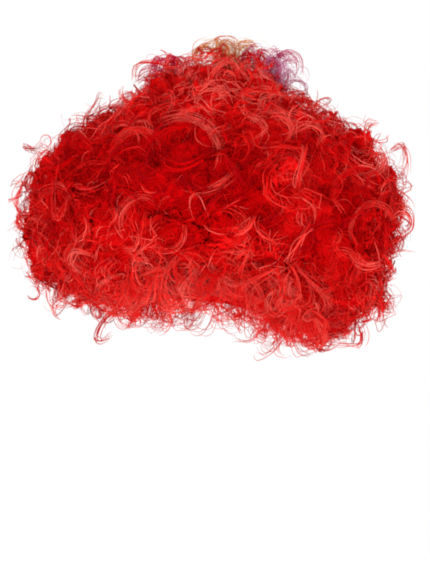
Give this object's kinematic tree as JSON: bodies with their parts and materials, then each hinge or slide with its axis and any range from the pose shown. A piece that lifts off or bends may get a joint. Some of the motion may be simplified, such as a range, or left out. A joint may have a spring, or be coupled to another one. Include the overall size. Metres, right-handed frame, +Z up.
{
  "type": "afro wig",
  "caption": "Full, curly red wig: a deep mass of curled locks with gold, lilac and magenta tufts at the crown, on a net cap with an elastic edge, open below for the head.",
  "frame": {"origin": "inside of the cap's crown, where the top of the head sits", "axes": "+Z up, out of the crown; the wearer faces -Y; +X to the right seen from the front"},
  "size_m": [0.3979, 0.3591, 0.3046],
  "materials": {
    "cap_net": "matte stretch net, red",
    "band_elastic": "matte ribbed elastic, red",
    "red_fibre": "curled synthetic fibre, bright red, soft sheen",
    "gold_fibre": "curled synthetic fibre, gold, soft sheen",
    "lilac_fibre": "curled synthetic fibre, lilac, soft sheen",
    "magenta_fibre": "curled synthetic fibre, magenta, soft sheen"
  },
  "bodies": {
    "root": {"net_cap": "cap_net", "edge_band": "band_elastic", "red_hair": "red_fibre", "gold_tuft": "gold_fibre", "lilac_tuft": "lilac_fibre", "magenta_tuft": "magenta_fibre"}
  },
  "joints": []
}
